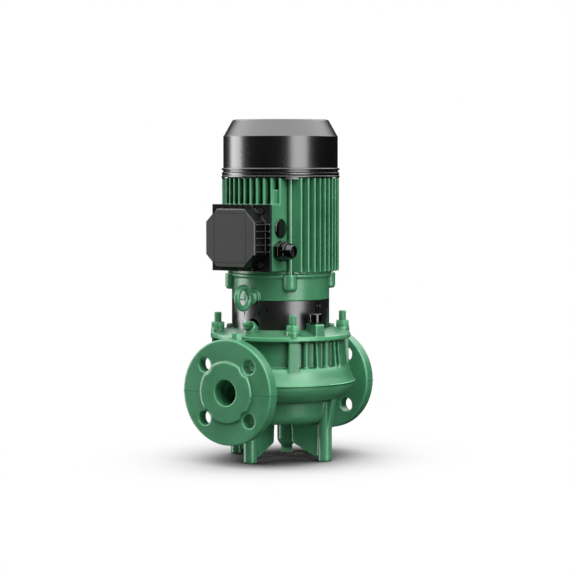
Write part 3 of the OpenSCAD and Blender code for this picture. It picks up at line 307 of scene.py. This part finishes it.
class Shape:
    """Points in millimetres and faces that are gathered before they become one mesh."""

    def __init__(self):
        self.points = []
        self.faces = []

    def add(self, points, faces, place=Matrix()):
        first = len(self.points)
        self.points += [tuple(place @ Vector(p)) for p in points]
        self.faces += [tuple(i + first for i in face) for face in faces]

    def lathe(self, profile, steps, place=Matrix(), radius=None):
        """Turns a profile of (r, z) round Z. radius(r, angle) can change the radius round the turn."""
        points = []
        for k in range(steps):
            angle = 2 * math.pi * k / steps
            for r, z in profile:
                at = r if radius is None else radius(r, angle)
                points.append((at * math.cos(angle), at * math.sin(angle), z))
        size = len(profile)
        faces = []
        for k in range(steps):
            n = (k + 1) % steps
            for i in range(size - 1):
                faces.append((k * size + i, n * size + i, n * size + i + 1, k * size + i + 1))
        self.add(points, faces, place)

    def slab(self, low, high, place=Matrix()):
        x, y, z = zip(low, high)
        points = [(x[i], y[j], z[k]) for i in (0, 1) for j in (0, 1) for k in (0, 1)]
        faces = [(0, 1, 3, 2), (4, 6, 7, 5), (0, 4, 5, 1), (2, 3, 7, 6), (0, 2, 6, 4), (1, 5, 7, 3)]
        self.add(points, faces, place)

    def loft(self, rings, capped=False):
        """Skin over rings that have the same number of points."""
        count = len(rings[0])
        faces = []
        for level in range(len(rings) - 1):
            low, high = level * count, (level + 1) * count
            for i in range(count):
                j = (i + 1) % count
                faces.append((low + i, low + j, high + j, high + i))
        if capped:
            last = (len(rings) - 1) * count
            faces.append(tuple(range(last, last + count)))
        self.add([p for ring in rings for p in ring], faces)

    def mesh(self, name, smooth=True):
        mesh = bpy.data.meshes.new(name)
        mesh.from_pydata([Vector(p) * MM for p in self.points], [], self.faces)
        mesh.update()
        if smooth:
            mesh.shade_smooth()
            mesh.set_sharp_from_angle(angle=math.radians(35.0))
        return mesh


def turned_to(angle):
    return Matrix.Rotation(math.radians(angle), 4, "Z")


def hexagon_radius(across_flats):
    """Radius of a hexagon's outline at an angle, as far as the profile asks for it."""
    def radius(r, angle):
        turn = (angle + math.pi / 6) % (math.pi / 3) - math.pi / 6
        return min(r, across_flats / 2 / math.cos(turn))
    return radius


def cast_skin(node_name, voxel, keep, rounds=6, slot_name="green_paint", finish_name=None):
    """Copy of a solid with the rounded edges that castings, mouldings and thick paint have.

    voxel is in millimetres, keep is the share of faces that stay, and rounds counts the smoothing passes.
    """
    skin_name = node_name + "_skin"
    work = bpy.data.objects.new(node_name + "_work", frame["nodes"][node_name].data.copy())
    bpy.context.scene.collection.objects.link(work)
    remesh = work.modifiers.new("remesh", "REMESH")
    remesh.mode = "VOXEL"
    remesh.voxel_size = voxel * MM
    remesh.use_smooth_shade = True
    smooth = work.modifiers.new("smooth", "SMOOTH")
    smooth.factor = 0.5
    smooth.iterations = rounds
    thin = work.modifiers.new("thin", "DECIMATE")
    thin.ratio = keep
    graph = bpy.context.evaluated_depsgraph_get()
    mesh = bpy.data.meshes.new_from_object(work.evaluated_get(graph))
    bpy.data.objects.remove(work)
    mesh.shade_smooth()
    mesh.name = skin_name
    add_object(skin_name, mesh, slot_name, (node_name,), finish_name)


def make_skins():
    cast_skin("pump_casing", voxel=1.1, keep=0.3)
    cast_skin("stool", voxel=0.9, keep=0.3)
    cast_skin("drive_end_shield", voxel=0.9, keep=0.3)
    cast_skin("motor_housing", voxel=0.8, keep=0.2, rounds=2, finish_name="green_fins")
    cast_skin("stool_cap_screws", voxel=0.4, keep=0.3, rounds=3, slot_name="black_steel", finish_name="gland_black")
    cast_skin("terminal_cover", voxel=0.5, keep=0.16, rounds=3, slot_name="matt_black_plastic")
    for name in ("gland_body", "gland_nut", "blind_plug"):
        cast_skin(name, voxel=0.35, keep=0.3, rounds=3, slot_name="matt_black_plastic", finish_name="gland_black")
    cast_skin("eyebolt_front", voxel=0.5, keep=0.5)
    cast_skin("eyebolt_rear", voxel=0.5, keep=0.3)


def nut_profile():
    """Hexagon nut with chamfered corners, over its washer."""
    bore = STUD_R + THREAD_GAP
    flat_r = NUT_AF / 2
    corner_r = flat_r / math.cos(math.pi / 6)
    foot = NUT_Z + WASHER_T
    top = NUT_Z + NUT_H
    return [(bore, foot), (corner_r - 1.0, foot), (corner_r, foot + 0.4), (corner_r, top - NUT_CHAMFER),
            (flat_r - 0.4, top), (bore + 0.6, top), (bore, top - 0.6)]


def washer_profile():
    bore = STUD_R + THREAD_GAP
    outer = NUT_AF / 2 + WASHER_OVER
    top = NUT_Z + WASHER_T
    edge = 0.2
    return [(bore, NUT_Z), (outer - edge, NUT_Z), (outer, NUT_Z + edge), (outer, top - edge), (outer - edge, top),
            (bore, top)]


def stud_profile():
    """Stud with a ring for each turn of the thread above its nut, and a chamfered end."""
    nut_top = NUT_Z + NUT_H
    root_r = STUD_R - THREAD_DEPTH
    end = NUT_CHAMFER
    profile = [(STUD_R, STUD_FOOT_Z), (STUD_R, nut_top)]
    z = nut_top + 0.3
    while z < STUD_TOP_Z - 2.0:
        profile += [(STUD_R, z), (STUD_R, z + 0.25), (root_r, z + 0.75), (root_r, z + 0.9)]
        z += THREAD_PITCH
    return profile + [(STUD_R, z), (STUD_R, STUD_TOP_Z - end), (STUD_R - end, STUD_TOP_Z), (0.0, STUD_TOP_Z)]


def make_nuts():
    """Casing nuts on washers, and the studs that they hold."""
    nuts = Shape()
    studs = Shape()
    for angle in CORNERS:
        place = turned_to(angle) @ Matrix.Translation((STUD_CIRCLE_R, 0, 0))
        nuts.lathe(nut_profile(), 60, place @ turned_to(NUT_TURN - angle), radius=hexagon_radius(NUT_AF))
        nuts.lathe(washer_profile(), 40, place)
        studs.lathe(stud_profile(), 32, place)
    add_object("casing_nut_shapes", nuts.mesh("casing_nut_shapes"), "green_paint", ("casing_nuts",))
    add_object("casing_stud_shapes", studs.mesh("casing_stud_shapes"), "green_paint", ("casing_studs",))


def add_flange_line(shape, place, sign, face_rise, rim_rise, z_low, z_high):
    """Line across one half of a flange: over its face from the raised face outward, and over its rim."""
    low, high = sorted((sign * (RAISED_R + 0.5), sign * (FLANGE_R - 1.0)))
    shape.slab((low, -FLANGE_FRONT - face_rise, z_low), (high, -FLANGE_FRONT + 0.5, z_high), place)
    low, high = sorted((sign * (FLANGE_R - 0.6), sign * (FLANGE_R + rim_rise)))
    shape.slab((low, -FLANGE_FRONT + 1.0, z_low), (high, -FLANGE_BACK - 1.0, z_high), place)


def make_mould_lines():
    """Fine seams that the casting mould left round the volute and across both flanges, with strips of painted shadow
    under them.
    """
    seam = Shape()
    # Painted shadow: dark strips under the seams, where their shade falls
    seam_shadow = Shape()
    seam_shadow.lathe([(VOLUTE_R - 1.6, VOLUTE_Z - 2.0), (VOLUTE_R + 0.1, VOLUTE_Z - 1.7),
                 (VOLUTE_R + 0.3, VOLUTE_Z - 0.6), (VOLUTE_R - 1.0, VOLUTE_Z - 0.4)], SEAM_STEPS)
    foot_r, foot_half = VOLUTE_R - 0.6, SEAM_HALF + 0.3
    seam.lathe([(foot_r, VOLUTE_Z - foot_half), (VOLUTE_R + SEAM_RISE, VOLUTE_Z - SEAM_HALF / 2),
                (VOLUTE_R + SEAM_RISE, VOLUTE_Z + SEAM_HALF / 2), (foot_r, VOLUTE_Z + foot_half)], SEAM_STEPS)
    line_z = PIPE_Z - 0.1
    for turn in (0, 180):
        for sign in (-1, 1):
            place = turned_to(turn)
            add_flange_line(seam, place, sign, 0.18, 0.22, line_z, line_z + SEAM_H)
            add_flange_line(seam_shadow, place, sign, 0.06, 0.06, line_z - SEAM_SHADOW_H, line_z)
    band_r, band_half = RIM_R - 0.1, 1.0
    seam.lathe([(RIM_R - 1.0, JOINT_Z - 1.4), (band_r, JOINT_Z - band_half), (band_r, JOINT_Z + band_half),
                (RIM_R - 1.0, JOINT_Z + 1.4)], SEAM_STEPS)
    add_object("mould_lines", seam.mesh("mould_lines"), "green_paint")
    add_object("mould_seam_shadows", seam_shadow.mesh("mould_seam_shadows"), "green_paint", finish_name="seam_green")


def lid_octagon(grow, cut_less, out):
    """The cover's outline, made larger by grow, with its corner cuts made smaller, out in front of the cover."""
    x, z = (LID_W + grow) / 2, (LID_H + grow) / 2
    cut = LID_CUT - cut_less
    corners = [(-x, cut - z), (cut - x, -z), (x - cut, -z), (x, cut - z), (x, z - cut), (x - cut, z), (cut - x, z),
               (-x, z - cut)]
    return [(a, -LID_BACK - LID_DEPTH - out, BOX_Z + b) for a, b in corners]


def make_lid_face():
    """Bevelled edge, a grained front that is painted lighter as painted sheen, and its fine lines on the terminal
    cover.
    """
    bevel = Shape()
    bevel.loft([lid_octagon(LID_OVER, 0.0, -2.2), lid_octagon(LID_OVER, 0.0, -1.3),
                lid_octagon(-LID_BEVEL, 0.7, 0.1)])
    add_object("lid_bevel", bevel.mesh("lid_bevel", smooth=False), "matt_black_plastic")
    face = Shape()
    face.loft([lid_octagon(-LID_BEVEL, 0.7, 0.02), lid_octagon(-LID_BEVEL - 0.6, 0.9, 0.12)], capped=True)
    add_object("lid_face", face.mesh("lid_face", smooth=False), "matt_black_plastic", finish_name="lid_face_black")
    lines = Shape()
    front = -LID_BACK - LID_DEPTH - 0.12
    for x in (-LID_SIDE_LINE_X, LID_SIDE_LINE_X):
        lines.slab((x - 0.22, front - 0.04, BOX_Z - LID_SIDE_LINE_END),
                   (x + 0.22, front + 0.05, BOX_Z + LID_SIDE_LINE_END))
    for z in LID_CROSS_LINES:
        lines.slab((-LID_CROSS_LINE_END, front - 0.05, BOX_Z + z - 0.2),
                   (LID_CROSS_LINE_END, front + 0.05, BOX_Z + z + 0.2))
    add_object("lid_lines", lines.mesh("lid_lines", smooth=False), "matt_black_plastic")


def make_shadows():
    """Painted shadow: near-black plates in the guard's slots, where only shade is seen."""
    slot_shadows = Shape()
    for angle, down in GUARD_SLOTS:
        foot = MOTOR_Z - down
        low = (GUARD_R - 0.5, -GUARD_SLOT_HALF, foot - 0.1)
        high = (GUARD_R - 0.12, GUARD_SLOT_HALF, foot + GUARD_SLOT_H)
        slot_shadows.slab(low, high, turned_to(angle))
    mesh = slot_shadows.mesh("guard_slot_shadows", smooth=False)
    add_object("guard_slot_shadows", mesh, "black_sheet", finish_name="shadow_black")


def make_camera():
    data = bpy.data.cameras.new("camera")
    data.sensor_width = SENSOR
    data.lens = LENS
    data.clip_end = CAMERA_REACH
    camera = bpy.data.objects.new("camera", data)
    camera.location = (CAMERA_DISTANCE * math.sin(CAMERA_AZIMUTH), -CAMERA_DISTANCE * math.cos(CAMERA_AZIMUTH),
                       CAMERA_HEIGHT)
    camera.rotation_euler = (math.pi / 2 - CAMERA_PITCH, 0.0, CAMERA_YAW)
    bpy.context.scene.collection.objects.link(camera)
    bpy.context.scene.camera = camera


def add_panel(name, azimuth, elevation, size, radiance, mirrored=True, lighting=True):
    """Soft light panel. Azimuth is measured from the camera's side, positive to the right."""
    data = bpy.data.lights.new(name, "AREA")
    data.shape = "RECTANGLE"
    data.size, data.size_y = size
    data.energy = radiance * math.pi * size[0] * size[1]
    lamp = bpy.data.objects.new(name, data)
    turn = CAMERA_AZIMUTH + math.radians(azimuth)
    lift = math.radians(elevation)
    direction = Vector((math.sin(turn) * math.cos(lift), -math.cos(turn) * math.cos(lift), math.sin(lift)))
    lamp.location = LIGHT_CENTRE + direction * LIGHT_DISTANCE
    lamp.rotation_euler = direction.to_track_quat("Z", "Y").to_euler()
    lamp.visible_glossy = mirrored
    lamp.visible_diffuse = lighting
    bpy.context.scene.collection.objects.link(lamp)


def make_lights():
    """A key light with the card that glossy faces mirror in its place, a low panel on the left, and one above."""
    add_panel("card_right", azimuth=37.0, elevation=8.0, size=(1.0, 1.7), radiance=4.2, lighting=False)
    add_panel("key_right", azimuth=37.0, elevation=32.0, size=(1.0, 1.2), radiance=4.6, mirrored=False)
    add_panel("panel_left", azimuth=-100.0, elevation=5.0, size=(0.95, 1.7), radiance=4.6)
    add_panel("panel_top", azimuth=12.0, elevation=60.0, size=(1.5, 1.1), radiance=4.2, mirrored=False)


def make_world():
    """Pure white to the camera, a bright ceiling over a dark horizon to glossy faces, and a soft fill."""
    world = bpy.data.worlds.new("studio")
    bpy.context.scene.world = world
    nodes, links = node_tree(world)
    background = nodes["Background"]
    background.inputs["Color"].default_value = (1.0, 1.0, 1.0, 1.0)
    path = nodes.new("ShaderNodeLightPath")
    coords = nodes.new("ShaderNodeTexCoord")
    split = nodes.new("ShaderNodeSeparateXYZ")
    links.new(coords.outputs["Generated"], split.inputs["Vector"])
    height = split.outputs["Z"]
    ceiling = add_map(nodes, links, height, (WORLD_DARK_TO, WORLD_BRIGHT_FROM), WORLD_DARK, WORLD_BRIGHT, smooth=True)
    fill = add_map(nodes, links, path.outputs["Is Glossy Ray"], low=WORLD_FILL)
    links.new(ceiling.outputs["Result"], fill.inputs["To Max"])
    strength = add_map(nodes, links, path.outputs["Is Camera Ray"])
    links.new(fill.outputs["Result"], strength.inputs["To Min"])
    links.new(strength.outputs["Result"], background.inputs["Strength"])


def make_floor():
    """White floor. The camera sees pure white with a painted shadow that darkens it only where the object stands
    close over it.
    """
    half = FLOOR_HALF
    mesh = bpy.data.meshes.new("floor")
    mesh.from_pydata([(-half, -half, 0), (half, -half, 0), (half, half, 0), (-half, half, 0)], [], [(0, 1, 2, 3)])
    floor = bpy.data.objects.new("floor", mesh)
    floor.visible_glossy = False
    bpy.context.scene.collection.objects.link(floor)
    material = bpy.data.materials.new("floor_white")
    nodes, links = node_tree(material)
    shader = nodes["Principled BSDF"]
    shader.inputs["Base Color"].default_value = (0.36, 0.37, 0.36, 1.0)
    shader.inputs["Roughness"].default_value = 0.9
    shader.inputs["Specular IOR Level"].default_value = 0.0
    sky = add_openness(nodes, links, FLOOR_REACH, samples=12)
    curve = add_map(nodes, links, sky, FLOOR_SHADE, FLOOR_DARKEST, smooth=True)
    seen = nodes.new("ShaderNodeEmission")
    seen.inputs["Color"].default_value = (1.0, 1.0, 1.0, 1.0)
    links.new(curve.outputs["Result"], seen.inputs["Strength"])
    path = nodes.new("ShaderNodeLightPath")
    both = nodes.new("ShaderNodeMixShader")
    links.new(path.outputs["Is Camera Ray"], both.inputs["Fac"])
    links.new(shader.outputs["BSDF"], both.inputs[1])
    links.new(seen.outputs["Emission"], both.inputs[2])
    links.new(both.outputs["Shader"], nodes["Material Output"].inputs["Surface"])
    mesh.materials.append(material)


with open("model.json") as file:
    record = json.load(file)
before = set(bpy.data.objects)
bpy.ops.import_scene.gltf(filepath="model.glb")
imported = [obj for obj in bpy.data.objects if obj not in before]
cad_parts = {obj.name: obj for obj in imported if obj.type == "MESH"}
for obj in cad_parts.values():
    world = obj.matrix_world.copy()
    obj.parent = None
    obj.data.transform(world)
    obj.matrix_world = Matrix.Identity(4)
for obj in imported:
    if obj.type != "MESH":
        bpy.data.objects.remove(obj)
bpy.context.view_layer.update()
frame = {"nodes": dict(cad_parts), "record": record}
bpy.context.scene.view_settings.view_transform = "Standard"
made = {}
make_camera()
dress_nodes()
make_skins()
make_nuts()
make_mould_lines()
make_lid_face()
make_shadows()
make_lights()
make_world()
make_floor()
